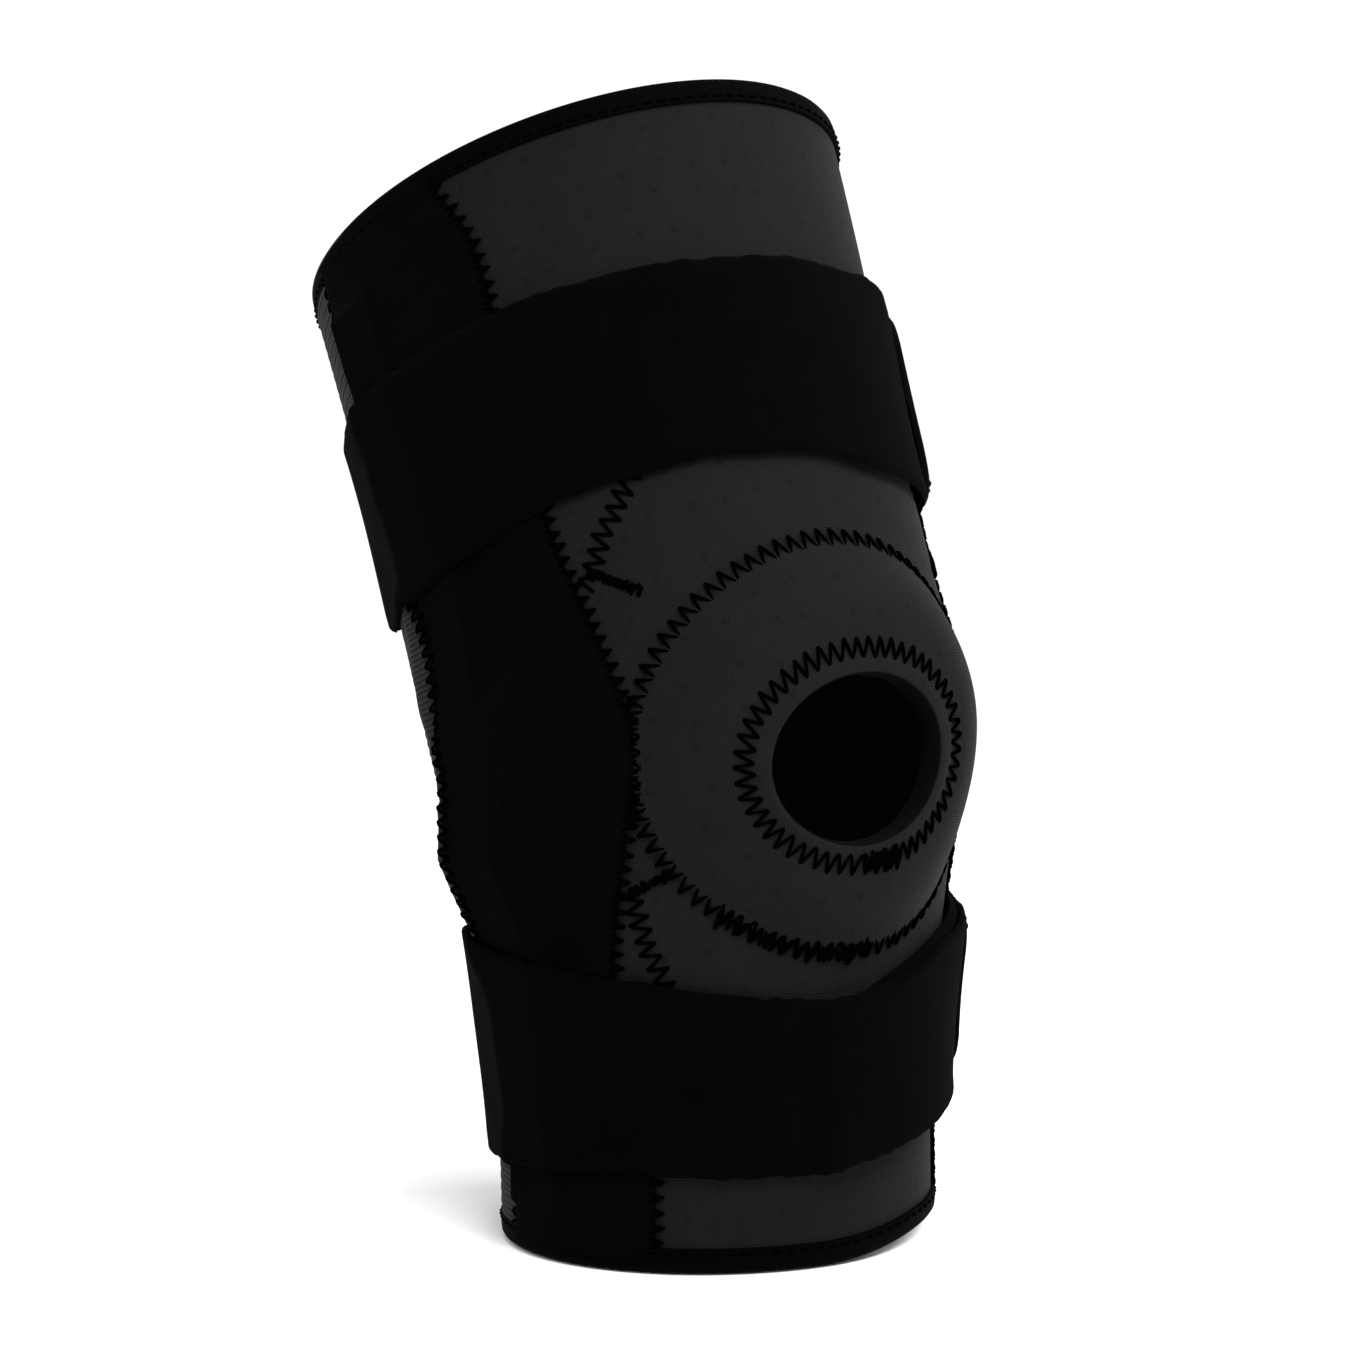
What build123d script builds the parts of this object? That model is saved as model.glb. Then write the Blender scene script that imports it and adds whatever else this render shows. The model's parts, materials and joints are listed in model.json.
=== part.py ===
"""Hinged knee brace with an open kneecap, standing on its calf rim.

Frame: millimetres, +Z up, -Y to the front of the knee, -X to the outer (lateral) side.
The origin is the centre of the calf rim. The calf half is upright and the thigh half
leans back by the knee's flexion, as the brace is worn by somebody standing at ease.
"""
import os
from functools import lru_cache
from math import cos, radians, sin

from build123d import *

# ---------------------------------------------------------------- driving dimensions
FLEXION = 27.0            # degrees between the calf and thigh halves as modelled
CALF_LENGTH = 122.0       # calf rim to the knee line
THIGH_LENGTH = 143.0      # knee line to the thigh rim, along the leg
BEND = 46.0               # the sleeve bends from this far below the knee line to this far above
SLEEVE = 4.0              # thickness of the foam fabric
LEVELS = 20               # the leg is lofted through this many bands

# along the leg from the knee line: half width, half depth, centre behind the leg's axis
SECTIONS = [
    (-122.0, 55.0, 52.0, -1.0),
    (-92.0, 54.5, 54.0, 0.0),
    (-62.0, 57.5, 56.0, 2.0),
    (-30.0, 64.0, 60.0, 1.5),
    (0.0, 68.5, 63.5, -1.5),
    (30.0, 67.0, 66.5, -0.5),
    (65.0, 66.5, 68.5, -3.0),
    (110.0, 67.5, 71.0, -7.5),
    (143.0, 68.0, 73.0, -10.0),
]

HINGE_Y = 0.0             # the hinge axis lies along X, through this y ...
HINGE_Z = CALF_LENGTH     # ... and this z
PIN_R = 3.0
PIN_HEAD_R = 5.0
PIN_CLEARANCE = 0.05      # the thigh upright turns on the pin
RIVET_R = 1.6
RIVET_HEAD_R = 2.7
RIVET_CLEARANCE = 0.02
HEAD = 0.9                # height of the pin and rivet heads
HEAD_TAPER = 12           # degrees
BAR_WIDTH = 16.0
BAR = 1.6                 # upright thickness
PLATE = 0.8               # hinge cheek plate thickness
LINER = 0.25              # nylon liner thickness
SLIDE = 0.05              # play each side of the thigh upright
PLATE_R = 15.0

# hinge stack, from the leg outwards (distance from the X = 0 plane)
PAD_IN, PAD_OUT = 68.8, 69.8
PAD_R, PAD_HOLE_R = 17.0, 6.0
CHEEK_IN = 69.9
LINER_IN = CHEEK_IN + PLATE
BAR_IN = LINER_IN + LINER + SLIDE
LINER_OUT = BAR_IN + BAR + SLIDE
CHEEK_OUT = LINER_OUT + LINER
STACK_OUT = CHEEK_OUT + PLATE

BINDING = 1.2             # binding tape thickness
BINDING_DEPTH = 7.0       # how far the tape covers the sleeve from its rim
CHANNEL_PLAY = 0.1        # room for the sleeve's edge inside the folded tape
GAP = 0.4                 # room between soft pieces on different bodies
FRONT_SPLIT = 14.0        # behind the leg's axis, where the ribbed back panels start

KNEECAP_S = -10.0         # kneecap opening, along the leg
KNEECAP_R = 23.0
BUTTRESS_R = 37.0         # felt ring that holds the kneecap, under the round cover
COVER_R = 50.0
BUTTRESS = (GAP, 3.9)     # how far each lies off the sleeve, inside and outside
COVER = (4.3, 5.9)
FAR = 95.0                # past any surface of the brace, for cutting profiles

os.makedirs("parts", exist_ok=True)

FLEX = radians(FLEXION)
BEND_R = 2 * BEND / FLEX


def leg_axis(s):
    """Centre (y, z) of the leg at distance s along it, and its lean in radians."""
    lean = min(max((s + BEND) / (2 * BEND), 0), 1) * FLEX
    straight = max(s - BEND, 0)
    y = BEND_R * (1 - cos(lean)) + straight * sin(FLEX)
    z = CALF_LENGTH + min(s, -BEND) + BEND_R * sin(lean) + straight * cos(FLEX)
    return y, z, lean


def leg_level(s):
    """Plane square to the leg at s, with its Y towards the back."""
    y, z, lean = leg_axis(s)
    return Plane(origin=(0, y, z), x_dir=(1, 0, 0), z_dir=(0, sin(lean), cos(lean)))


def side_view(points):
    """(y, z) of points given as (behind the leg's axis, along the leg)."""
    placed = []
    for behind, s in points:
        y, z, lean = leg_axis(s)
        placed.append((y + behind * cos(lean), z - behind * sin(lean)))
    return placed


def girth(s):
    """Half width, half depth and centre of the leg at s, smooth through SECTIONS."""
    stations = [row[0] for row in SECTIONS]
    i = max(k for k in range(len(stations) - 1) if stations[k] <= s or k == 0)
    t = (s - stations[i]) / (stations[i + 1] - stations[i])

    def slope(k, column):
        low, high = SECTIONS[max(k - 1, 0)], SECTIONS[min(k + 1, len(SECTIONS) - 1)]
        return (high[column] - low[column]) / (high[0] - low[0])

    values = []
    for column in (1, 2, 3):
        start, end = SECTIONS[i][column], SECTIONS[i + 1][column]
        span = stations[i + 1] - stations[i]
        values.append(
            (2 * t**3 - 3 * t**2 + 1) * start
            + (t**3 - 2 * t**2 + t) * span * slope(i, column)
            + (3 * t**2 - 2 * t**3) * end
            + (t**3 - t**2) * span * slope(i + 1, column)
        )
    return values


@lru_cache
def leg_solid(sides, front):
    """The leg's shape, grown by these offsets at its sides and at its front and back."""
    with BuildPart() as leg:
        for k in range(LEVELS + 1):
            s = -CALF_LENGTH + (CALF_LENGTH + THIGH_LENGTH) * k / LEVELS
            half_width, half_depth, centre = girth(s)
            with BuildSketch(leg_level(s)):
                with Locations((0, centre)):
                    Ellipse(half_width + sides, half_depth + front)
        loft()
    return leg.part


def shell(inner, outer):
    """Tube between two offsets of the leg, each (sides, front)."""
    add(leg_solid(*outer))
    add(leg_solid(*inner), mode=Mode.SUBTRACT)


def keep_zone(points, x_low=-FAR, x_high=FAR):
    """Keep what lies inside a side-view outline, between two x."""
    with BuildSketch(Plane.YZ.offset(x_low)) as zone:
        with BuildLine():
            Polyline(*side_view(points), close=True)
        make_face()
    extrude(zone.sketch, amount=x_high - x_low, mode=Mode.INTERSECT)


def save(piece, name):
    piece.part.label = name
    export_step(piece.part, f"parts/{name}.step")


# ---------------------------------------------------------------- sleeve panels
RIM = CALF_LENGTH - BINDING           # the sleeve stops inside the binding
TOP = THIGH_LENGTH - BINDING

# edges of the rigid halves: level at the front and sides, cut away behind the knee
CALF_EDGE = [(-FAR, -BEND), (10, -BEND), (61, -70), (FAR, -86)]
THIGH_EDGE = [(-FAR, BEND), (12, BEND), (68, 66), (FAR, 75.5)]


def tube_zone(low_edge, high_edge):
    return low_edge + high_edge[::-1]


CALF_ZONE = tube_zone([(-FAR, -RIM), (FAR, -RIM)], CALF_EDGE)
KNEE_ZONE = tube_zone(CALF_EDGE, [(y, s - GAP) for y, s in THIGH_EDGE])
THIGH_ZONE = tube_zone(THIGH_EDGE, [(-FAR, TOP), (FAR, TOP)])

SPLIT = [(FRONT_SPLIT, s) for s in (-130, -46, -25, 0, 25, 46, 150)]
FRONT_ZONE = SPLIT + [(-FAR, 150), (-FAR, 46), (-FAR, 0), (-FAR, -46), (-FAR, -130)]
BACK_ZONE = SPLIT + [(120, 150), (120, -130)]


def sleeve_panel(zone, half):
    with BuildPart() as panel:
        shell((-SLEEVE, -SLEEVE), (0, 0))
        keep_zone(zone)
        keep_zone(half)
    return panel


def kneecap_plane():
    """Plane whose normal leaves the knee through the kneecap opening."""
    y, z, lean = leg_axis(KNEECAP_S)
    return Plane(origin=(0, y, z), x_dir=(1, 0, 0), z_dir=(0, -cos(lean), sin(lean)))


def sleeve():
    save(sleeve_panel(CALF_ZONE, FRONT_ZONE), "calf_front_panel")
    save(sleeve_panel(CALF_ZONE, BACK_ZONE), "calf_back_panel")
    save(sleeve_panel(THIGH_ZONE, FRONT_ZONE), "thigh_front_panel")
    save(sleeve_panel(THIGH_ZONE, BACK_ZONE), "thigh_back_panel")
    save(sleeve_panel(KNEE_ZONE, BACK_ZONE), "popliteal_panel")

    with BuildPart() as knee_front_panel:
        shell((-SLEEVE, -SLEEVE), (0, 0))
        keep_zone(KNEE_ZONE)
        keep_zone(FRONT_ZONE)
        with BuildSketch(kneecap_plane()):
            Circle(KNEECAP_R)
        extrude(amount=FAR, mode=Mode.SUBTRACT)
    save(knee_front_panel, "knee_front_panel")


def kneecap_ring(outer_r, low, high):
    """Part of a shell around the kneecap opening."""
    with BuildPart() as ring:
        shell((low, low), (high, high))
        with BuildSketch(kneecap_plane()):
            Circle(outer_r)
            Circle(KNEECAP_R + 1, mode=Mode.SUBTRACT)
        extrude(amount=FAR, mode=Mode.INTERSECT)
    return ring


def kneecap():
    save(kneecap_ring(BUTTRESS_R, *BUTTRESS), "patella_buttress")
    save(kneecap_ring(COVER_R, *COVER), "patella_cover")


def rim_band(rim_s, edge_s, inner, outer):
    """Ring of the leg's section between two levels and two offsets."""
    with BuildPart() as band:
        shell((inner, inner), (outer, outer))
        keep_zone([(-FAR, rim_s), (FAR, rim_s), (FAR, edge_s), (-FAR, edge_s)])
    return band.part


def binding(rim_s, into):
    """Tape folded over a rim, from rim_s towards into (+1 up the leg, -1 down it)."""
    edge = rim_s + into * BINDING_DEPTH
    root = rim_s + into * (BINDING - CHANNEL_PLAY)
    tape_band = rim_band(rim_s, edge, -SLEEVE - BINDING, BINDING)
    channel = rim_band(root, edge + into, -SLEEVE - CHANNEL_PLAY, CHANNEL_PLAY)
    with BuildPart() as tape:
        add(tape_band)
        add(channel, mode=Mode.SUBTRACT)
    return tape


# ---------------------------------------------------------------- straps
CALF_STRAP = tube_zone(
    [(-FAR, -96), (0, -99), (61, -106), (FAR, -109)],
    [(-FAR, -56), (-20, -54), (10, -51), (17, -45), (26, -43), (61, -73), (FAR, -88)],
)
THIGH_STRAP = tube_zone(
    [(-FAR, 49), (12, 50), (68, 68), (FAR, 77)],
    [(-FAR, 99), (12, 101), (FAR, 105)],
)

# offsets from the sleeve at the sides, over the pockets, and at the front and back
STRAP_IN = (5.4, 1.6)
STRAP_OUT = (7.6, 3.8)
TAB_IN = (7.9, 4.1)
TAB_OUT = (9.2, 5.4)
TAB_FRONT, TAB_BACK = -34.0, 20.0     # edges of the hook tabs, behind the leg's axis


def straps():
    for name, zone, low, high in (
        ("calf_strap", CALF_STRAP, -97, -56),
        ("thigh_strap", THIGH_STRAP, 52, 98),
    ):
        with BuildPart() as strap:
            shell(STRAP_IN, STRAP_OUT)
            keep_zone(zone)
        save(strap, name)

        # the hook tab closes on the inner side of the leg, over the strap
        with BuildPart() as tab:
            shell(TAB_IN, TAB_OUT)
            keep_zone(tube_zone([(TAB_FRONT, low), (TAB_BACK, low)],
                                [(TAB_FRONT, high), (TAB_BACK, high)]), x_low=0)
        save(tab, f"{name}_tab")


# ---------------------------------------------------------------- hinges
def upright_frame(lean):
    """Plane on the hinge axis with Z along a half's upright and Y to its back."""
    return Plane(
        origin=(0, HINGE_Y, HINGE_Z), x_dir=(1, 0, 0), z_dir=(0, sin(lean), cos(lean))
    )


def facing(frame, x):
    """Plane square to the hinge axis at x: its X to the back, its Y along the upright."""
    return Plane(
        origin=frame.origin + Vector(x, 0, 0), x_dir=frame.y_dir, z_dir=frame.x_dir
    )


def edge_on(frame):
    """Plane that sees an upright on edge: its X is the X axis, its Y along the upright."""
    return Plane(origin=frame.origin, x_dir=frame.x_dir, z_dir=-frame.y_dir)


CALF_FRAME = upright_frame(0)
THIGH_FRAME = upright_frame(FLEX)

# inner face of each upright, as (distance from X = 0, along the upright)
CALF_BAR = [(BAR_IN, -9), (BAR_IN, -23), (61.3, -46), (58.2, -62), (55.3, -84), (55.3, -108)]
THIGH_BAR = [(BAR_IN, -9), (BAR_IN, 20), (67.7, 48), (67.2, 80), (68.2, 124)]

TANG_RIVETS = [(0, -13), (0, -19.5)]
TANG_END = -23.0
STOP_RIVET = (-10.8, 4.0)
STOP = (5.0, 7.0)         # extension stop, width and height
STOP_CORNER = 1.2


def upright(frame, side, inner_face, bore):
    """Flat bar bent to the leg. Its inner end is round where it carries the bore."""
    far_end = inner_face[-1][1]
    with BuildPart() as bar:
        with BuildSketch(edge_on(frame)):
            with BuildLine():
                Polyline(
                    *[(side * x, along) for x, along in inner_face],
                    *[(side * (x + BAR), along) for x, along in inner_face[::-1]],
                    close=True,
                )
            make_face()
        extrude(amount=BAR_WIDTH / 2, both=True)
        with BuildSketch(facing(frame, 0)):
            with BuildLine():
                low = min(inner_face[0][1], far_end)
                high = max(inner_face[0][1], far_end)
                half = BAR_WIDTH / 2
                if bore:
                    Line((half, 0), (half, high - half))
                    RadiusArc((half, high - half), (-half, high - half), -half)
                    Line((-half, high - half), (-half, 0))
                    RadiusArc((-half, 0), (half, 0), -half)
                else:
                    Line((half, high), (half, low + half))
                    RadiusArc((half, low + half), (-half, low + half), half)
                    Line((-half, low + half), (-half, high))
                    Line((-half, high), (half, high))
            make_face()
            if bore:
                Circle(bore, mode=Mode.SUBTRACT)
            else:
                with Locations(*TANG_RIVETS):
                    Circle(RIVET_R + RIVET_CLEARANCE, mode=Mode.SUBTRACT)
        extrude(amount=side * FAR, mode=Mode.INTERSECT)
    return bar


def cheek_outline():
    """Hinge cheek: a disc over the pivot and a tang down the calf upright."""
    Circle(PLATE_R)
    with Locations((0, TANG_END / 2)):
        Rectangle(BAR_WIDTH, -TANG_END)
    Circle(PIN_R + RIVET_CLEARANCE, mode=Mode.SUBTRACT)
    with Locations(*TANG_RIVETS, STOP_RIVET):
        Circle(RIVET_R + RIVET_CLEARANCE, mode=Mode.SUBTRACT)


def flat(side, low, high, outline):
    """Solid with a side-view outline, between two distances from X = 0."""
    with BuildPart() as piece:
        with BuildSketch(facing(CALF_FRAME, side * low)):
            outline()
        extrude(amount=side * (high - low))
    return piece


def hinge(side, name):
    def disc_pair(low_pair, high_pair, outline):
        with BuildPart() as pair:
            for low, high in (low_pair, high_pair):
                with BuildSketch(facing(CALF_FRAME, side * low)):
                    outline()
                extrude(amount=side * (high - low))
        return pair

    def headed(places, radius, head_radius):
        """Pins through the stack, flush inside and headed outside."""
        with BuildPart() as pins:
            with BuildSketch(facing(CALF_FRAME, side * CHEEK_IN)):
                with Locations(*places):
                    Circle(radius)
            extrude(amount=side * (STACK_OUT - CHEEK_IN))
            with BuildSketch(facing(CALF_FRAME, side * STACK_OUT)):
                with Locations(*places):
                    Circle(head_radius)
            extrude(amount=side * HEAD, taper=HEAD_TAPER)
        return pins

    def stop_outline():
        with Locations(STOP_RIVET):
            RectangleRounded(*STOP, STOP_CORNER)
            Circle(RIVET_R + RIVET_CLEARANCE, mode=Mode.SUBTRACT)

    def pad_outline():
        Circle(PAD_R)
        Circle(PAD_HOLE_R, mode=Mode.SUBTRACT)

    save(upright(THIGH_FRAME, side, THIGH_BAR, PIN_R + PIN_CLEARANCE), f"{name}_thigh_upright")
    save(upright(CALF_FRAME, side, CALF_BAR, 0), f"{name}_calf_upright")
    save(flat(side, CHEEK_IN, CHEEK_IN + PLATE, cheek_outline), f"{name}_inner_cheek")
    save(flat(side, CHEEK_OUT, STACK_OUT, cheek_outline), f"{name}_outer_cheek")
    liners = disc_pair(
        (LINER_IN, LINER_IN + LINER), (LINER_OUT, LINER_OUT + LINER), cheek_outline
    )
    save(liners, f"{name}_hinge_liners")
    save(headed([(0, 0)], PIN_R, PIN_HEAD_R), f"{name}_hinge_pin")
    save(headed([*TANG_RIVETS, STOP_RIVET], RIVET_R, RIVET_HEAD_R), f"{name}_hinge_rivets")
    save(flat(side, BAR_IN, BAR_IN + BAR, stop_outline), f"{name}_extension_stop")
    save(flat(side, PAD_IN, PAD_OUT, pad_outline), f"{name}_condyle_pad")


# ---------------------------------------------------------------- pockets over the hinges
POCKET = 1.2              # pocket fabric thickness
DOME_IN = STACK_OUT + HEAD + GAP      # inside of the pocket over the hinge
DOME_FOOT_R = 26.0
DOME_TOP_R = 17.5
FOOT_X = 50.0             # inside the leg, where the pocket's walls are started
# inside of the pocket over each upright, as (distance from X = 0, along the leg)
TUNNEL = [(64.6, -BEND), (DOME_IN, -24), (DOME_IN, 22), (71.4, BEND)]
TUNNEL_BACK = 12.5        # edges of the tunnel, behind the leg's axis
TUNNEL_FRONT = -12.5
# the flat part of each pocket, as offsets from the sleeve
STRIP_IN = (4.2, 0.7)
STRIP_OUT = (5.1, 1.2)
POCKET_CALF = [(-30, -119), (14, -119), (18, -46.4), (-28, -46.4)]
POCKET_THIGH = [(-34, 46.4), (12, 46.4), (14, 135), (-42, 135)]


def pocket_strip(side, zone):
    with BuildPart() as strip:
        shell(STRIP_IN, STRIP_OUT)
        keep_zone(zone, *sorted((0, side * FAR)))
    return strip


def dome_solid(side, grow):
    """Cone over the hinge and tunnels over both uprights, grown outwards by this much."""
    with BuildPart() as dome:
        with BuildSketch(facing(CALF_FRAME, side * FOOT_X)):
            Circle(DOME_FOOT_R + grow)
        with BuildSketch(facing(CALF_FRAME, side * (DOME_IN + grow))):
            Circle(DOME_TOP_R + grow)
        loft()
    with BuildPart() as tunnel:
        with BuildSketch(Plane.XZ.offset(-FAR)):
            with BuildLine():
                Polyline(
                    (side * FOOT_X, HINGE_Z - BEND),
                    *[(side * (x + grow), HINGE_Z + s) for x, s in TUNNEL],
                    (side * FOOT_X, HINGE_Z + BEND),
                    close=True,
                )
            make_face()
        extrude(amount=2 * FAR)
        low, high = TUNNEL_FRONT - grow, TUNNEL_BACK + grow
        keep_zone([(low, -BEND), (high, -BEND), (high, 0), (high, BEND), (low, BEND), (low, 0)])
        add(dome.part)
    return tunnel.part


def pocket_dome(side):
    with BuildPart() as dome:
        add(dome_solid(side, POCKET))
        add(dome_solid(side, 0), mode=Mode.SUBTRACT)
        add(leg_solid(GAP, GAP), mode=Mode.SUBTRACT)
    return dome


def pockets(side, name):
    save(pocket_strip(side, POCKET_CALF), f"{name}_calf_pocket")
    save(pocket_strip(side, POCKET_THIGH), f"{name}_thigh_pocket")
    save(pocket_dome(side), f"{name}_knee_pocket")


sleeve()
kneecap()
save(binding(-CALF_LENGTH, 1), "bottom_binding")
save(binding(THIGH_LENGTH, -1), "top_binding")
straps()
for side, name in ((-1, "lateral"), (1, "medial")):
    hinge(side, name)
    pockets(side, name)
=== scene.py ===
import json
import math

import bpy
import numpy as np
from mathutils import Matrix, Vector


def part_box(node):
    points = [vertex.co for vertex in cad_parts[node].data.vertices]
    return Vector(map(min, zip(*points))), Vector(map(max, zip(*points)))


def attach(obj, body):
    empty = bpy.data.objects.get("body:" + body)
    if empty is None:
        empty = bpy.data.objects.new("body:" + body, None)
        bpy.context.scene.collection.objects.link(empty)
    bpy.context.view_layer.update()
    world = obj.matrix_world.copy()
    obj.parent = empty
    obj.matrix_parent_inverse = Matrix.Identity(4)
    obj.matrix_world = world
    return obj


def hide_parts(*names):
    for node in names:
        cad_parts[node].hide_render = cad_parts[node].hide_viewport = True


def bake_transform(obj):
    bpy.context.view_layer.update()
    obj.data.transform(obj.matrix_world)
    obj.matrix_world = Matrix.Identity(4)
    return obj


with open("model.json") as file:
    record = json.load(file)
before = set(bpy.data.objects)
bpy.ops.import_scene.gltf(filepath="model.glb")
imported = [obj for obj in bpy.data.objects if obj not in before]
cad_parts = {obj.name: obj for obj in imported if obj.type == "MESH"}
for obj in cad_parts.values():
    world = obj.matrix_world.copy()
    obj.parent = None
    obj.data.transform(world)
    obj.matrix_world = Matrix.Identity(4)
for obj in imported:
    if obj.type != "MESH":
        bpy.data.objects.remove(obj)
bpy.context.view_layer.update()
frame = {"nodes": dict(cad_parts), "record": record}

# ------------------------------------------------------------------ the leg's shape (mm)
MM = 0.001
SIDES = {"lateral": -1, "medial": 1}
HINGE = np.array(frame["record"]["behaviour"]["joints"][0]["pos_m"]) / MM
CALF_LENGTH = HINGE[2]
THIGH_LENGTH = 143.0
FLEX = math.radians(27)   # how far the thigh half leans back as modelled
BEND = 46.0               # the sleeve bends from this far below the hinge to this far above
BEND_R = 2 * BEND / FLEX
SLEEVE = 4.0              # thickness of the foam fabric
CLOTH_R = 66.0            # radius that turns an angle into fabric coordinates
THREAD_R = 0.43           # zigzag thread
FINE_THREAD_R = 0.32      # thread of the running stitches

# along the leg, half width, half depth, centre behind the leg's axis
SECTIONS = np.array([
    (-122.0, 55.0, 52.0, -1.0),
    (-92.0, 54.5, 54.0, 0.0),
    (-62.0, 57.5, 56.0, 2.0),
    (-30.0, 62.6, 58.2, 1.5),
    (0.0, 68.5, 63.5, -1.5),
    (30.0, 67.0, 66.5, -0.5),
    (65.0, 66.5, 68.5, -3.0),
    (110.0, 67.5, 71.0, -7.5),
    (143.0, 68.0, 73.0, -10.0),
])

# the kneecap opening and the round cover over it, on the fabric:
# centre (angle, along the leg) and half sizes (around, along) in mm of fabric
HOLE_AT = (math.radians(-3.6), -9.9)
HOLE = (25.0, 20.0)
COVER_AT = (math.radians(-2.5), -7.2)
COVER = (56.2, 49.8)
CAP_GIRTH = 65.0          # radius that turns an angle into a length around the knee
CAP_STRETCH = 1.32        # the front of the bend is longer than the leg's axis
CAP_BULGE = 6.5           # how far the kneecap pushes the cover forwards
RIM_RISE = 4.5            # the bottom rim rides up this much on the inner side
POPLITEAL_HOLLOW = 5.0    # depth of the hollow behind the knee

PANEL_EDGE = math.radians(104)   # where the foam sleeve ends at the back
PANEL_LAP = 0.19          # radians of the ribbed back panel that lie over the foam sleeve


def smoothstep(t):
    t = np.clip(t, 0, 1)
    return t * t * (3 - 2 * t)


def smooth_through(keys, at):
    """Values on a smooth curve through keys, which are rows of (place, value, ...)."""
    keys = np.asarray(keys, float)
    places, values = keys[:, 0], keys[:, 1:]
    count = len(places)
    i = np.clip(np.searchsorted(places, at, side="right") - 1, 0, count - 2)
    low = np.maximum(np.arange(count) - 1, 0)
    high = np.minimum(np.arange(count) + 1, count - 1)
    slopes = (values[high] - values[low]) / (places[high] - places[low])[:, None]
    span = (places[i + 1] - places[i])[..., None]
    t = (at - places[i])[..., None] / span
    return (
        (2 * t**3 - 3 * t**2 + 1) * values[i]
        + (t**3 - 2 * t**2 + t) * span * slopes[i]
        + (3 * t**2 - 2 * t**3) * values[i + 1]
        + (t**3 - t**2) * span * slopes[i + 1]
    )


def girth(s):
    """Half width, half depth and centre at s, smooth through SECTIONS."""
    value = smooth_through(SECTIONS, s)
    return value[..., 0], value[..., 1], value[..., 2]


def leg_axis(s):
    """Centre (y, z) of the leg at s, and its lean in radians."""
    lean = np.clip((s + BEND) / (2 * BEND), 0, 1) * FLEX
    straight = np.maximum(s - BEND, 0)
    y = BEND_R * (1 - np.cos(lean)) + straight * math.sin(FLEX)
    z = CALF_LENGTH + np.minimum(s, -BEND) + BEND_R * np.sin(lean) + straight * math.cos(FLEX)
    return y, z, lean


def place(x, behind, s):
    """Point at x and at this distance behind the leg's axis, in the level of s."""
    y, z, lean = leg_axis(s)
    return np.stack([x, y + behind * np.cos(lean), z - behind * np.sin(lean)], -1)


def from_cap(angle, s, at, size):
    """How far out a point lies from an oval on the fabric: 1 on its edge."""
    u = (angle - at[0]) * CAP_GIRTH / size[0]
    v = (s - at[1]) * CAP_STRETCH / size[1]
    return np.hypot(u, v)


def base(angle, s):
    """The sleeve's outer face: angle 0 at the front, +90 degrees on the inner side."""
    angle, s = np.broadcast_arrays(np.asarray(angle, float), np.asarray(s, float))
    s = s + RIM_RISE * smoothstep((np.sin(angle) + 0.15) / 0.9) * smoothstep((-94 - s) / 28)
    half_width, half_depth, centre = girth(s)
    ring = from_cap(angle, s, COVER_AT, COVER)
    bulge = CAP_BULGE * smoothstep((1.1 - ring) / 0.5) * (np.cos(angle) > 0)
    turn = np.mod(angle, 2 * math.pi) - math.pi
    hollow = POPLITEAL_HOLLOW * np.exp(-((turn / 0.7) ** 2) - (s / 42) ** 2)
    folds = 0.5 * np.sin(3 * angle + s / 17) * np.exp(-((s / 60) ** 2)) * np.abs(np.sin(angle))
    behind = centre - (half_depth + folds) * np.cos(angle) - bulge - hollow
    return place((half_width + folds) * np.sin(angle), behind, s)


def normal(angle, s):
    e_angle, e_s = 0.004, 0.3
    along = base(angle, s + e_s) - base(angle, s - e_s)
    around = base(angle + e_angle, s) - base(angle - e_angle, s)
    n = np.cross(around, along)
    return n / np.linalg.norm(n, axis=-1, keepdims=True)


def on_leg(angle, s, off=0.0):
    """Point on the sleeve, off mm above its face."""
    angle, s = np.broadcast_arrays(np.asarray(angle, float), np.asarray(s, float))
    off = np.asarray(off, float)
    return base(angle, s) + normal(angle, s) * off[..., None]


# ------------------------------------------------------------------ what the cloth must clear
def side_profile(nodes, axis):
    """Outermost face of these nodes, as (along axis from the hinge, distance from X = 0)."""
    points = np.concatenate([[v.co for v in frame["nodes"][n].data.vertices] for n in nodes]) / MM
    along = (points - HINGE) @ axis
    out = np.abs(points[:, 0])
    steps = np.unique(np.round(along))
    face = np.array([out[np.abs(along - k) < 1.2].max() for k in steps])
    return steps, face


THIGH_AXIS = np.array([0, math.sin(FLEX), math.cos(FLEX)])
THIGH_BACK = np.array([0, math.cos(FLEX), -math.sin(FLEX)])
CALF_AXIS = np.array([0, 0, 1.0])
CALF_BACK = np.array([0, 1.0, 0])
BAR_HALF = 8.6            # the cloth is loose over this much each side of an upright ...
KNEE_HALVES = (9.6, 13.6)  # ... and over this much before and behind it where the knee bends
BEHIND_THIGH_BAR = 1.8    # and still more behind the thigh upright
BAR_SLOPE, CHEEK_SLOPE = 1.5, 1.7   # how steeply the cloth falls away beside each
CHEEK_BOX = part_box("lateral_outer_cheek")
CHEEK_R = (CHEEK_BOX[1][1] - CHEEK_BOX[0][1]) / 2 / MM
PIN_TOP = -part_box("lateral_hinge_pin")[0][0] / MM
CHEEK_TOP = -CHEEK_BOX[0][0] / MM
THIGH_BAR = side_profile(["lateral_thigh_upright"], THIGH_AXIS)
CALF_BAR = side_profile(
    ["lateral_calf_upright", "lateral_outer_cheek", "lateral_hinge_rivets"], CALF_AXIS
)


def soft_max(a, b, k):
    """Larger of the two, rounded over about k mm where they cross."""
    h = np.clip(0.5 + 0.5 * (a - b) / k, 0, 1)
    return b + (a - b) * h + k * h * (1 - h)


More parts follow.
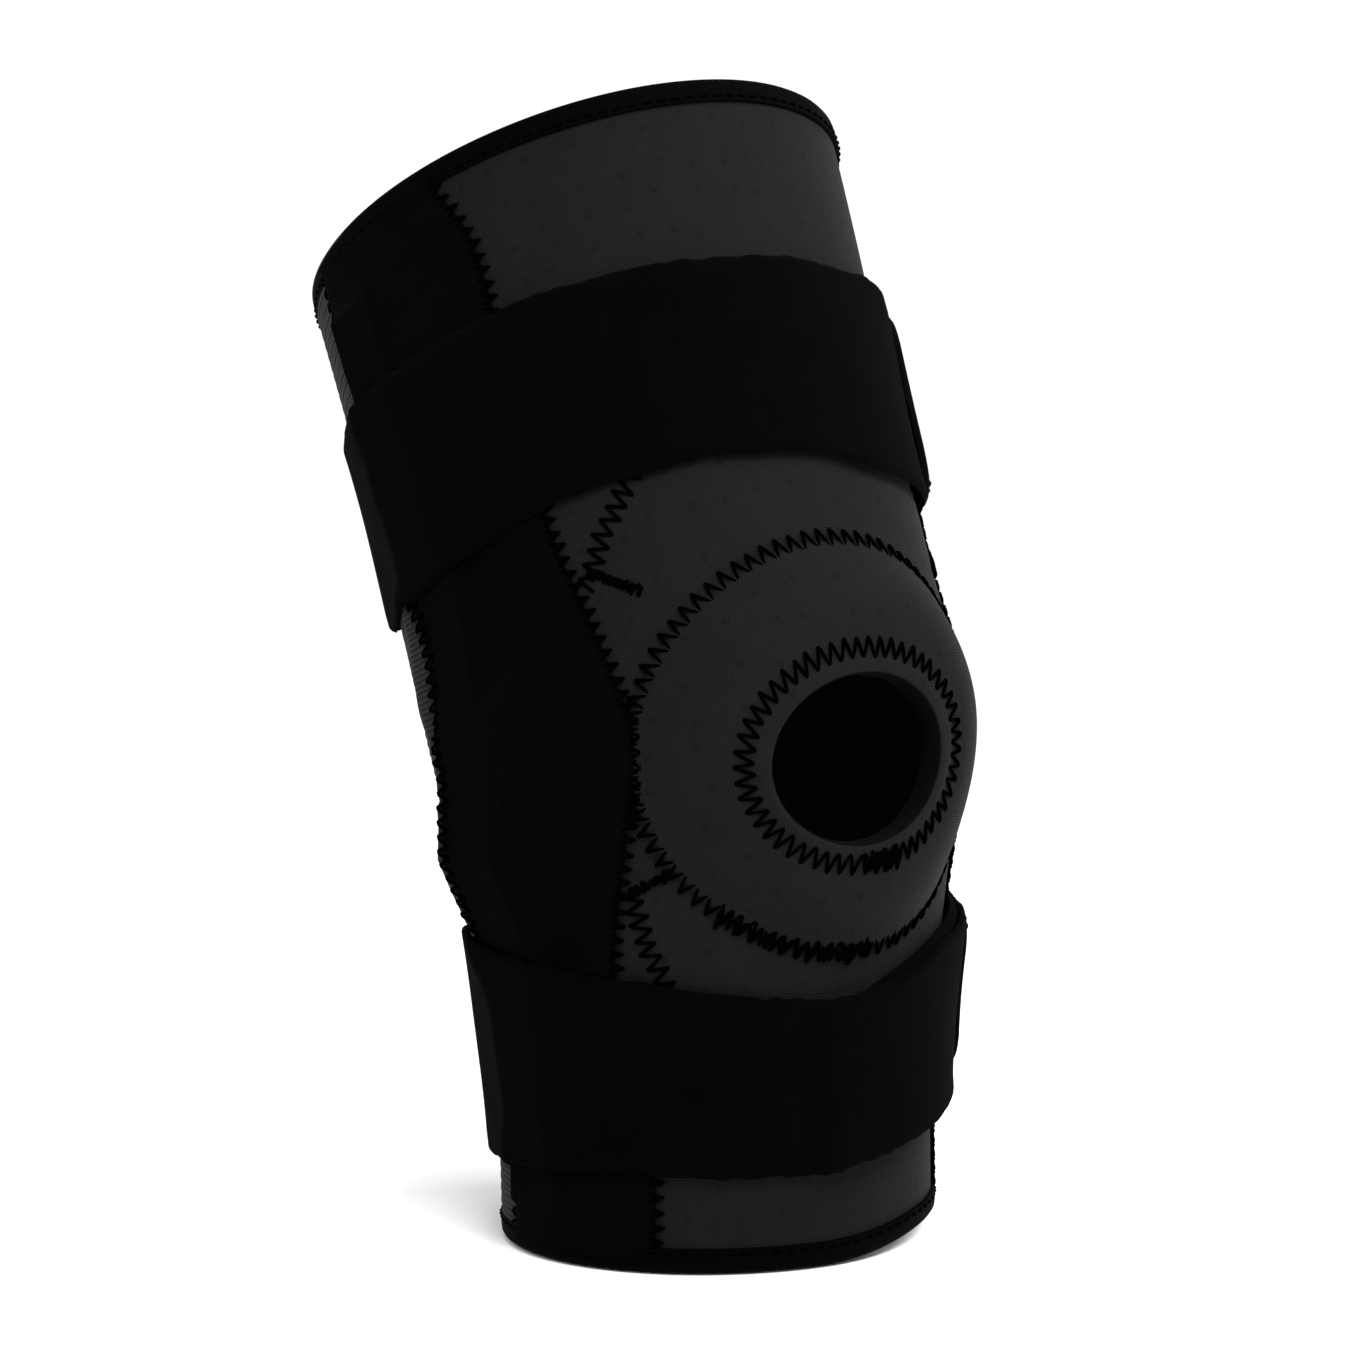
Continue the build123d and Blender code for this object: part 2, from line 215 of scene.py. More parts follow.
def hidden_relief(points, slack):
    """Least distance from X = 0 that covers the hinge and both uprights with slack."""
    rel = points - HINGE
    radius = np.hypot(rel[..., 1], rel[..., 2])
    reach = PIN_TOP + slack - (PIN_TOP - CHEEK_TOP - 0.2) * smoothstep((radius - 5) / 8)
    reach = reach - np.maximum(radius - CHEEK_R, 0) * CHEEK_SLOPE
    for (steps, face), axis, back, more in (
        (THIGH_BAR, THIGH_AXIS, THIGH_BACK, BEHIND_THIGH_BAR),
        (CALF_BAR, CALF_AXIS, CALF_BACK, 0.0),
    ):
        along = rel @ axis
        aside = rel @ back
        behind = KNEE_HALVES[1] + more * smoothstep((along - 2) / 8)
        half = np.where(aside < 0, KNEE_HALVES[0], behind) - BAR_HALF
        half = BAR_HALF + half * smoothstep((58 - np.abs(along)) / 12)
        top = np.interp(along, steps, face) + slack
        top = top - np.maximum(np.abs(aside) - half, 0) * BAR_SLOPE
        past = np.maximum(steps[0] - along, 0) + np.maximum(along - steps[-1], 0)
        reach = soft_max(reach, top - past * 0.8, 1.5)
    return reach


def over_hardware(points, slack, k=2.0):
    """Push points outwards, along X, where the hinge or an upright lies under them."""
    lifted = points.copy()
    side = np.sign(points[..., 0])
    near = np.abs(points[..., 0]) > 30
    out = soft_max(np.abs(points[..., 0]), hidden_relief(points, slack), k)
    lifted[..., 0] = np.where(near, side * out, points[..., 0])
    return lifted


# ------------------------------------------------------------------ meshes
def mesh_piece(name, points, faces, material, uv=None):
    mesh = bpy.data.meshes.new(name)
    mesh.from_pydata([tuple(p) for p in np.asarray(points) * MM], [], faces)
    mesh.update()
    mesh.polygons.foreach_set("use_smooth", [True] * len(mesh.polygons))
    if uv is not None:
        layer = mesh.uv_layers.new(name="cloth")
        loops = np.empty(len(mesh.loops), np.int32)
        mesh.loops.foreach_get("vertex_index", loops)
        layer.data.foreach_set("uv", np.asarray(uv, np.float32)[loops].ravel())
    piece = bpy.data.objects.new(name, mesh)
    bpy.context.scene.collection.objects.link(piece)
    mesh.materials.append(material)
    return piece


def shell_faces(columns, rows, closed=False, keep=None):
    """Quads of a thick sheet: outer face, inner face, and walls round every open edge."""
    cells = columns if closed else columns - 1
    if keep is None:
        keep = np.ones((cells, rows - 1), bool)
    under = columns * rows

    def vertex(i, j):
        return (i % columns) * rows + j

    faces = []
    for i in range(cells):
        for j in range(rows - 1):
            if not keep[i, j]:
                continue
            a, b = vertex(i, j), vertex(i + 1, j)
            c, d = vertex(i + 1, j + 1), vertex(i, j + 1)
            faces.append((a, b, c, d))
            faces.append((a + under, d + under, c + under, b + under))
            left = keep[i - 1, j] if (closed or i > 0) else False
            right = keep[(i + 1) % cells, j] if (closed or i + 1 < cells) else False
            low = keep[i, j - 1] if j > 0 else False
            high = keep[i, j + 1] if j + 2 < rows else False
            for joined, p, q in ((left, d, a), (right, b, c), (low, a, b), (high, c, d)):
                if not joined:
                    faces.append((q, p, p + under, q + under))
    return faces


def drop_loose(points, faces, uv):
    used = np.unique(np.concatenate([np.asarray(f) for f in faces]))
    renumber = np.full(len(points), -1)
    renumber[used] = np.arange(len(used))
    return points[used], [tuple(int(renumber[k]) for k in f) for f in faces], uv[used]


def thick_sheet(name, outer, inner, material, uv, closed=False, keep=None, lining=None):
    """Sheet with an outer and an inner face, each (columns, rows, 3)."""
    columns, rows = outer.shape[:2]
    points = np.concatenate([outer.reshape(-1, 3), inner.reshape(-1, 3)])
    flat_uv = np.concatenate([uv.reshape(-1, 2)] * 2)
    faces = shell_faces(columns, rows, closed, keep)
    within = [min(face) >= columns * rows for face in faces]
    points, faces, flat_uv = drop_loose(points, faces, flat_uv)
    piece = mesh_piece(name, points, faces, material, flat_uv)
    if lining:
        piece.data.materials.append(lining)
        piece.data.polygons.foreach_set("material_index", np.array(within, np.int32))
    return piece


def ring_band(name, loops, material, uv):
    """Closed band: loops is (columns, loop points, 3), closed both ways."""
    columns, around = loops.shape[:2]
    faces = []
    for i in range(columns):
        for j in range(around):
            k, m = (i + 1) % columns, (j + 1) % around
            faces.append((i * around + j, k * around + j, k * around + m, i * around + m))
    return mesh_piece(name, loops.reshape(-1, 3), faces, material, uv.reshape(-1, 2))


def tube(paths, radius, sides=6):
    """Points and faces of round threads along open paths, each an (n, 3) array."""
    all_points, all_faces, start = [], [], 0
    for path in paths:
        path = np.asarray(path, float)
        ahead = np.gradient(path, axis=0)
        ahead /= np.linalg.norm(ahead, axis=1, keepdims=True)
        across = np.cross(ahead, np.array([0.31, 0.17, 0.94]))
        across /= np.linalg.norm(across, axis=1, keepdims=True)
        up = np.cross(across, ahead)
        turn = np.arange(sides) * 2 * math.pi / sides
        circle = (
            across[:, None] * np.cos(turn)[None, :, None]
            + up[:, None] * np.sin(turn)[None, :, None]
        )
        all_points.append((path[:, None] + radius * circle).reshape(-1, 3))
        count = len(path)
        for i in range(count - 1):
            for j in range(sides):
                k = (j + 1) % sides
                a, b = start + i * sides, start + (i + 1) * sides
                all_faces.append((a + j, a + k, b + k, b + j))
        all_faces.append(tuple(start + j for j in reversed(range(sides))))
        all_faces.append(tuple(start + (count - 1) * sides + j for j in range(sides)))
        start += count * sides
    return np.concatenate(all_points), all_faces


# ------------------------------------------------------------------ materials
def new_material(name):
    material = bpy.data.materials.new(name)
    material.use_nodes = True
    nodes, links = material.node_tree.nodes, material.node_tree.links
    return material, nodes, links, nodes["Principled BSDF"]


def math_node(nodes, links, operation, a, b=None, c=None, clamp=False):
    node = nodes.new("ShaderNodeMath")
    node.operation = operation
    node.use_clamp = clamp
    for socket, value in zip(node.inputs, (a, b, c)):
        if value is None:
            continue
        if isinstance(value, (int, float)):
            socket.default_value = value
        else:
            links.new(value, socket)
    return node.outputs[0]


def cloth_axes(nodes, links):
    """The fabric's own coordinates in mm, around the leg and along it."""
    uv = nodes.new("ShaderNodeUVMap")
    uv.uv_map = "cloth"
    split = nodes.new("ShaderNodeSeparateXYZ")
    links.new(uv.outputs[0], split.inputs[0])
    return uv.outputs[0], split.outputs[0], split.outputs[1]


def noise(nodes, links, vector, scale, detail=3.0, roughness=0.6):
    node = nodes.new("ShaderNodeTexNoise")
    node.inputs["Scale"].default_value = scale
    node.inputs["Detail"].default_value = detail
    node.inputs["Roughness"].default_value = roughness
    links.new(vector, node.inputs["Vector"])
    return node.outputs["Fac"]


def weigh(nodes, links, *parts):
    """Sum of node outputs, each times its weight."""
    total = 0.0
    for value, weight in parts:
        share = math_node(nodes, links, "MULTIPLY", value, weight)
        total = math_node(nodes, links, "ADD", share, total)
    return total


def ribs(nodes, links, axis, pitch):
    """0 to 1 ridges across one fabric axis."""
    turns = math_node(nodes, links, "MULTIPLY", axis, 2 * math.pi / pitch)
    wave = math_node(nodes, links, "SINE", turns)
    return math_node(nodes, links, "MULTIPLY_ADD", wave, 0.5, 0.5)


def blend_colour(nodes, links, factor, dark, light):
    ramp = nodes.new("ShaderNodeMix")
    ramp.data_type = "RGBA"
    links.new(factor, ramp.inputs["Factor"])
    ramp.inputs["A"].default_value = (*dark, 1)
    ramp.inputs["B"].default_value = (*light, 1)
    return ramp.outputs["Result"]


def bump(nodes, links, height, shader, strength, distance):
    node = nodes.new("ShaderNodeBump")
    node.inputs["Strength"].default_value = strength
    node.inputs["Distance"].default_value = distance * MM
    links.new(height, node.inputs["Height"])
    links.new(node.outputs[0], shader.inputs["Normal"])


def grey(value):
    return (value, value, value)


def foam_knit():
    """Dark grey knitted face of the foam rubber: fine wales, vent pits darkened with painted shade, lint.
    """
    material, nodes, links, shader = new_material("foam_knit")
    vector, around, along = cloth_axes(nodes, links)
    wales = ribs(nodes, links, around, 0.95)
    courses = ribs(nodes, links, along, 0.7)
    knit = math_node(nodes, links, "MULTIPLY", wales, courses)
    stretch = nodes.new("ShaderNodeMapping")
    stretch.inputs["Scale"].default_value = (1.6, 0.16, 1)
    links.new(vector, stretch.inputs["Vector"])
    streaks = noise(nodes, links, stretch.outputs[0], 1.0, 3.0)
    mottle = noise(nodes, links, vector, 0.07, 4.0)
    grain = noise(nodes, links, vector, 1.5, 2.0)
    tone = weigh(nodes, links, (knit, 0.22), (mottle, 0.42), (streaks, 0.36), (grain, 0.3))
    colour = blend_colour(nodes, links, tone, grey(FOAM_DARK), grey(FOAM_LIGHT))
    dots = nodes.new("ShaderNodeTexVoronoi")
    dots.voronoi_dimensions = "2D"
    dots.inputs["Scale"].default_value = 1 / 9.3
    dots.inputs["Randomness"].default_value = 0.5
    links.new(vector, dots.inputs["Vector"])
    vent_pit_and_shade = nodes.new("ShaderNodeMapRange")
    vent_pit_and_shade.interpolation_type = "SMOOTHSTEP"
    for socket, value in zip(("From Min", "From Max", "To Min", "To Max"), (0.06, 0.14, 0.3, 0.0)):
        vent_pit_and_shade.inputs[socket].default_value = value
    links.new(dots.outputs["Distance"], vent_pit_and_shade.inputs["Value"])
    # the vent pits are only dimples in the relief; their darker colour is painted shade in the pits
    mix = nodes.new("ShaderNodeMix")
    mix.data_type = "RGBA"
    links.new(vent_pit_and_shade.outputs["Result"], mix.inputs["Factor"])
    links.new(colour, mix.inputs["A"])
    mix.inputs["B"].default_value = (*grey(FOAM_DARK * 0.4), 1)
    links.new(mix.outputs["Result"], shader.inputs["Base Color"])
    shader.inputs["Roughness"].default_value = 0.85
    shader.inputs["Specular IOR Level"].default_value = 0.05
    shader.inputs["Sheen Weight"].default_value = 0.02
    shader.inputs["Sheen Roughness"].default_value = 0.35
    height = math_node(nodes, links, "SUBTRACT", knit, vent_pit_and_shade.outputs["Result"])
    bump(nodes, links, height, shader, 0.5, 0.25)
    return material


def ribbed_knit():
    """Lighter grey stretch knit with ribs across the leg and bright flecks."""
    material, nodes, links, shader = new_material("ribbed_knit")
    vector, around, along = cloth_axes(nodes, links)
    rows = ribs(nodes, links, along, 1.5)
    stitches = ribs(nodes, links, around, 1.1)
    lint = noise(nodes, links, vector, 0.8, 3.0)
    tone = weigh(nodes, links, (rows, 0.45), (stitches, 0.2), (lint, 0.6))
    tone = math_node(nodes, links, "MULTIPLY", tone, tone)
    colour = blend_colour(nodes, links, tone, grey(0.002), grey(0.019))
    links.new(colour, shader.inputs["Base Color"])
    shader.inputs["Roughness"].default_value = 0.9
    shader.inputs["Specular IOR Level"].default_value = 0.05
    shader.inputs["Sheen Weight"].default_value = 0.04
    shader.inputs["Sheen Roughness"].default_value = 0.4
    bump(nodes, links, rows, shader, 0.6, 0.5)
    return material


def loop_fabric(name, tone_low, tone_high, nap):
    """Black brushed loop: a deep nap of small tangled loops."""
    material, nodes, links, shader = new_material(name)
    vector, around, along = cloth_axes(nodes, links)
    loops = noise(nodes, links, vector, nap, 5.0, 0.75)
    patches = noise(nodes, links, vector, 0.06, 3.0)
    tone = math_node(nodes, links, "MULTIPLY", loops, patches)
    tone = math_node(nodes, links, "MULTIPLY", tone, 2.4, clamp=True)
    colour = blend_colour(nodes, links, tone, grey(tone_low), grey(tone_high))
    links.new(colour, shader.inputs["Base Color"])
    shader.inputs["Roughness"].default_value = 1.0
    shader.inputs["Specular IOR Level"].default_value = 0.01
    shader.inputs["Sheen Weight"].default_value = 0.002
    shader.inputs["Sheen Roughness"].default_value = 0.6
    bump(nodes, links, loops, shader, 0.8, 0.6)
    return material


def woven_tape(name, tone, pitch):
    """Black woven tape with ribs along it."""
    material, nodes, links, shader = new_material(name)
    vector, around, along = cloth_axes(nodes, links)
    weft = ribs(nodes, links, around, pitch)
    warp = ribs(nodes, links, along, pitch * 0.8)
    weave = math_node(nodes, links, "MULTIPLY", weft, warp)
    grain = noise(nodes, links, vector, 0.8, 3.0)
    shade = math_node(nodes, links, "MULTIPLY", math_node(nodes, links, "ADD", weave, 0.3), grain)
    colour = blend_colour(nodes, links, shade, grey(tone * 0.4), grey(tone * 1.8))
    links.new(colour, shader.inputs["Base Color"])
    shader.inputs["Roughness"].default_value = 0.8
    shader.inputs["Specular IOR Level"].default_value = 0.015
    bump(nodes, links, weave, shader, 0.6, 0.3)
    return material


def plain(name, low, high, scale, roughness, specular=0.3, metallic=0.0, depth=0.1):
    """Material whose tone and relief vary with a noise of this scale (per metre)."""
    material, nodes, links, shader = new_material(name)
    where = nodes.new("ShaderNodeTexCoord")
    grain = noise(nodes, links, where.outputs["Object"], scale)
    links.new(blend_colour(nodes, links, grain, low, high), shader.inputs["Base Color"])
    shader.inputs["Roughness"].default_value = roughness
    shader.inputs["Specular IOR Level"].default_value = specular
    shader.inputs["Metallic"].default_value = metallic
    bump(nodes, links, grain, shader, 0.4, depth)
    return material


def brushed_metal(name, tone, roughness):
    """Metal with fine brush lines along Z."""
    material, nodes, links, shader = new_material(name)
    where = nodes.new("ShaderNodeTexCoord")
    stretch = nodes.new("ShaderNodeMapping")
    stretch.inputs["Scale"].default_value = (900, 900, 12)
    links.new(where.outputs["Object"], stretch.inputs["Vector"])
    lines = noise(nodes, links, stretch.outputs[0], 1.0, 4.0)
    colour = blend_colour(nodes, links, lines, grey(tone * 0.8), grey(tone))
    links.new(colour, shader.inputs["Base Color"])
    shader.inputs["Metallic"].default_value = 1.0
    shader.inputs["Roughness"].default_value = roughness
    bump(nodes, links, lines, shader, 0.25, 0.05)
    return material


FOAM_DARK, FOAM_LIGHT = 0.0014, 0.0054
FOAM = foam_knit()
RIBBED = ribbed_knit()
LINING = woven_tape("nylon_lining", 0.009, 0.8)
POCKET_LOOP = loop_fabric("pocket_loop", 0.0001, 0.0008, 1.5)
STRAP_LOOP = loop_fabric("strap_loop", 0.0001, 0.0007, 1.2)
TAPE = woven_tape("binding_tape", 0.0002, 0.95)
HOOK = woven_tape("hook_tape", 0.0007, 1.3)
THREAD = plain("thread", grey(0.0001), grey(0.0005), 2500, 0.8, 0.0)
EDGE = plain("cut_edge", grey(0.0002), grey(0.0012), 900, 0.95, 0.03)


def bends(piece, slot, *nodes):
    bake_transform(piece)
    finish_piece(piece, slot, *nodes)


def rides(piece, body, slot, *nodes):
    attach(piece, body)
    finish_piece(piece, slot, *nodes)


def finish_piece(piece, slot, *nodes):
    if nodes:
        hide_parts(*nodes)


def cloth_uv(angle, s):
    """Fabric coordinates in mm, around the leg and along it."""
    return np.stack([angle * CLOTH_R, s], -1)


RIM_INSET = 1.4           # the fabric ends this far inside the folded bindings
SLEEVE_LOW = -CALF_LENGTH + RIM_INSET
SLEEVE_HIGH = THIGH_LENGTH - RIM_INSET


def foam_sleeve():
    columns = np.linspace(-PANEL_EDGE, PANEL_EDGE, 125)
    rows = np.linspace(SLEEVE_LOW, SLEEVE_HIGH, 133)
    angle, s = np.meshgrid(columns, rows, indexing="ij")
    mid_angle = (angle[1:, 1:] + angle[:-1, :-1]) / 2
    mid_s = (s[1:, 1:] + s[:-1, :-1]) / 2
    keep = from_cap(mid_angle, mid_s, HOLE_AT, np.array(HOLE) + 3.5) > 1
    piece = thick_sheet(
        "foam_sleeve", on_leg(angle, s, 0 * s), on_leg(angle, s, 0 * s - SLEEVE),
        FOAM, cloth_uv(angle, s), keep=keep, lining=LINING,
    )
    bends(piece, "foam_fabric", "calf_front_panel", "thigh_front_panel", "knee_front_panel")


def back_panel():
    """Ribbed panel; its front edges lie over the foam sleeve and the uprights' rear edges."""
    first = PANEL_EDGE - PANEL_LAP
    columns = np.linspace(first, 2 * math.pi - first, 107)
    rows = np.linspace(SLEEVE_LOW, SLEEVE_HIGH, 265)
    angle, s = np.meshgrid(columns, rows, indexing="ij")
    edge = np.minimum(angle - columns[0], columns[-1] - angle)
    ripple = 0.12 * np.sin(s * 2 * math.pi / 3.0)
    outer = over_hardware(on_leg(angle, s, 0.9 * smoothstep(edge / 0.03) + ripple), 0.7)
    inner = on_leg(angle, s, 0 * s - SLEEVE + 0.5)
    over_sleeve = (edge < PANEL_LAP)[..., None]
    inner = np.where(over_sleeve, over_hardware(inner, -0.3), inner)
    piece = thick_sheet(
        "ribbed_back_panel", outer, inner, RIBBED, cloth_uv(angle, s), lining=LINING
    )
    bends(piece, "ribbed_fabric", "calf_back_panel", "thigh_back_panel", "popliteal_panel")


def rim_binding(name, rim, into, body, node):
    """Tape folded over a rim. into is +1 where the sleeve lies above the rim."""
    columns = np.linspace(0, 2 * math.pi, 181)[:-1]
    outside, inside, depth = 1.1, SLEEVE + 1.0, 6.4
    half = (outside + inside) / 2
    middle = (outside - inside) / 2
    turn = np.linspace(0, math.pi, 11)
    profile = [(outside - 0.15, depth), (outside, depth - 0.6), (outside, depth * 0.5)]
    profile += [(middle + half * math.cos(t), 2.6 - 2.6 * math.sin(t) ** 0.8) for t in turn]
    profile += [(-inside, depth * 0.5), (-inside, depth - 0.6), (-inside + 0.15, depth)]
    profile += [(-inside + 1.4, depth), (outside - 1.4, depth)]
    profile = np.array(profile)
    angle = columns[:, None] + 0 * profile[None, :, 0]
    pucker = 0.12 * np.sin(columns * 90)[:, None] * (profile[None, :, 1] > 3)
    s = rim + into * (profile[None, :, 1] + 0 * angle)
    loops = on_leg(angle, s, profile[None, :, 0] + 0 * angle + pucker)
    length = np.cumsum(np.r_[0, np.hypot(*np.diff(profile, axis=0).T)])
    uv = cloth_uv(angle, length[None, :] + 0 * angle)
    piece = ring_band(name, loops if into < 0 else loops[:, ::-1], TAPE, uv)
    rides(piece, body, "binding_tape", node)


# ------------------------------------------------------------------ kneecap cover
def cap_line(share, outset=0.0, first=0.0, last=2 * math.pi):
    """Oval line over the cover: share 0 is the opening's edge and 1 the cover's edge."""
    outset_u, outset_v = np.broadcast_to(outset, 2)

    def line(t):
        turn = first + (last - first) * np.asarray(t)
        mixed = [np.asarray(a) + (np.asarray(b) - np.asarray(a)) * share
                 for a, b in ((HOLE_AT, COVER_AT), (HOLE, COVER))]
        (angle, s), (u, v) = mixed
        return np.stack([
            angle + np.cos(turn) * (u + outset_u) / CAP_GIRTH,
            s + np.sin(turn) * (v + outset_v) / CAP_STRETCH,
        ], -1)
    return line


COVER_OFF = 1.1            # how far the cover's face lies off the sleeve
INNER_SEAM = 0.195         # share of the way from the opening to the cover's edge


def kneecap_cover():
    around = np.linspace(0, 1, 193)[:-1]
    share = np.r_[0, 0.015, 0.04, np.linspace(0.08, 0.94, 26), 0.965, 0.985, 1.0]
    edges = np.sqrt(np.clip((1 - share) / 0.05, 0, 1))
    edges = edges * np.sqrt(0.4 + 0.6 * np.clip(share / 0.05, 0, 1))
    # the inner seam pulls the fabric in, and it swells between the two seams
    seam = 0.5 * np.exp(-(((share - INNER_SEAM) / 0.09) ** 2))
    swell = 1.1 * np.sin(math.pi * np.clip((share - 0.3) / 0.64, 0, 1))
    off = COVER_OFF * edges - seam * edges + swell
    lines = np.stack([cap_line(k)(around) for k in share], axis=1)
    outer = on_leg(lines[..., 0], lines[..., 1], np.broadcast_to(off, lines.shape[:2]))
    inner = on_leg(lines[..., 0], lines[..., 1], np.full(lines.shape[:2], -0.3))
    uv = cloth_uv(lines[..., 0], lines[..., 1] * CAP_STRETCH)
    cover = thick_sheet("kneecap_cover", outer[::-1], inner[::-1], FOAM, uv[::-1], closed=True)
    bends(cover, "foam_fabric", "patella_cover", "patella_buttress")

    # cut edge of the opening, and the lining behind it: (outset, off) round its section
    wall = np.array([
        (0.0, COVER_OFF * 0.62), (-0.35, 0.2), (-0.4, -2.0), (-0.2, -4.6),
        (1.0, -5.4), (9.0, -5.0), (9.0, -4.2), (0.9, -0.4),
    ])
    rings = np.stack([cap_line(0, outset)(around) for outset, _ in wall], axis=1)
    loops = on_leg(rings[..., 0], rings[..., 1], np.broadcast_to(wall[:, 1], rings.shape[:2]))
    uv = np.stack(np.broadcast_arrays(around[:, None] * 140, wall[None, :, 1]), -1)
    rim = ring_band("kneecap_opening_edge", loops, EDGE, uv)
    bends(rim, "foam_fabric")


# ------------------------------------------------------------------ pockets
# the pockets' edges, as (along the leg, degrees from the front)
POCKET_FRONT = [(-98, 53.8), (-65, 60), (50, 60), (121, 61.5), (140, 69)]
POCKET_BACK = [
    (-119, 104), (-62, 102), (-36, 98.5), (34, 95.6), (58, 103.5), (80, 104.5), (100, 107.5), (139, 108.5)
]
FLARE = 11.0              # degrees that a pocket widens forwards over the hinge ...
FLARE_REACH = 44.0        # ... fading out this far above and below it


def rounded(edge, s):
    """The edge, averaged over a few mm so that its corners are round, in radians."""
    return np.radians(np.mean([edge(s + k) for k in np.linspace(-7, 7, 9)], axis=0))


def pocket_front(s):
    def edge(at):
        flare = FLARE * np.maximum(0, 1 - np.abs(at + 1) / FLARE_REACH)
        return np.interp(at, *np.transpose(POCKET_FRONT)) - flare
    return rounded(edge, s)


def pocket_back(s):
    return rounded(lambda at: np.interp(at, *np.transpose(POCKET_BACK)), s)


POCKET_SLACK = 1.1        # how far the pocket's face lies outside the hinge and uprights


def pocket(name, side):
    rows = np.linspace(-CALF_LENGTH + 3, THIGH_LENGTH - 3, 190)
    across = np.r_[0, 0.008, 0.02, np.linspace(0.04, 0.96, 47), 0.98, 0.992, 1.0]
    front, back = pocket_front(rows), pocket_back(rows)
    angle = side * (front[None, :] + (back - front)[None, :] * across[:, None])
    s = np.broadcast_to(rows, angle.shape)
    rim = np.minimum(across, 1 - across)[:, None] * 45
    edge_off = 1.5 * np.sqrt(np.clip(rim / 1.2, 0, 1))
    soft = 0.16 * np.sin(s / 9 + 4 * across[:, None]) * np.clip(rim / 6, 0, 1)
    outer = over_hardware(on_leg(angle, s, edge_off + soft), POCKET_SLACK)
    inner = on_leg(angle, s, 0 * s - 0.3)
    if side < 0:
        outer, inner, angle, s = outer[::-1], inner[::-1], angle[::-1], s[::-1]
    piece = thick_sheet(f"{name}_pocket", outer, inner, POCKET_LOOP, cloth_uv(angle, s))
    parts = [f"{name}_{part}_pocket" for part in ("calf", "thigh", "knee")]
    bends(piece, "pocket_loop", *parts)


# ------------------------------------------------------------------ straps
def taut_band(low, high):
    """Surface pulled tight round the leg between two levels: f(turn, s, off) gives its points."""
    levels = np.linspace(low - 2, high + 2, 14)
    around = np.linspace(-math.pi, math.pi, 241)[:-1]
    angle, s = np.meshgrid(around, levels, indexing="ij")
    under = over_hardware(on_leg(angle, s, 1.3 + 0 * s), POCKET_SLACK + 0.1)
    y, z, lean = leg_axis(s)
    behind = (under[..., 1] - y) * np.cos(lean) - (under[..., 2] - z) * np.sin(lean) - girth(s)[2]
    probe = np.linspace(-math.pi, math.pi, 181)[:-1]
    reach = 0.2 + np.stack([
        (under[..., 0] * math.sin(p) - behind * math.cos(p)).max(axis=0) for p in probe
    ])
    turns = np.linspace(-math.pi, math.pi, 361)
    facing_out = np.cos(turns[:, None] - probe[None, :])
    ratio = np.where(facing_out > 0.15, 1 / np.maximum(facing_out, 0.15), np.inf)
    radii = (ratio[:, :, None] * reach[None, :, :]).min(axis=1)

    def surface(turn, s, off):
        at = np.mod(turn + math.pi, 2 * math.pi) / (2 * math.pi) * 360
        i = np.clip(at.astype(int), 0, 359)
        f = at - i
        level = (s - levels[0]) / (levels[1] - levels[0])
        j = np.clip(level.astype(int), 0, len(levels) - 2)
        g = level - j
        radius = (
            radii[i, j] * (1 - f) * (1 - g) + radii[i + 1, j] * f * (1 - g)
            + radii[i, j + 1] * (1 - f) * g + radii[i + 1, j + 1] * f * g
        ) + off
        return place(radius * np.sin(turn), girth(s)[2] - radius * np.cos(turn), s)
    return surface


def strap_edge(keys, turn):
    """Height of a strap's edge at a turn: a smooth ring through (degrees, along) keys."""
    keys = np.array(keys, float)
    ring = np.concatenate([keys - (360, 0), keys, keys + (360, 0)])
    return smooth_through(ring, np.mod(np.degrees(turn) + 180, 360) - 180)[..., 0]


# each strap's edges, as (degrees from the front, along the leg)
CALF_STRAP = {
    "low": [(-180, -105.6), (-140, -103.3), (-100, -99.2), (-65, -97.9), (-12, -97.5), (25, -92.3),
            (50, -86.8), (72, -87.1), (95, -91.3), (145, -103.4)],
    "high": [(-180, -71), (-150, -60.9), (-130, -47.4), (-110, -42), (-75, -47.8), (-12, -55),
             (10, -52.4), (32, -46), (65, -41.6), (112, -42.5), (128, -47.2), (150, -60.9)],
}
THIGH_STRAP = {
    "low": [(-180, 66.8), (-150, 60), (-118, 48), (-90, 46.3), (-60, 48.9), (-15, 48.1), (25, 42.6),
            (70, 45.9), (98, 48.8), (120, 50.7), (150, 60.4)],
    "high": [(-180, 103.7), (-112, 100.5), (-55, 99.1), (-10, 96.8), (20, 94.4), (60, 99.6),
             (85, 101.3), (130, 101.9)],
}
STRAP = 2.2               # thickness of the padded loop strap
TAB = 1.7                 # thickness of the hook end closed over it


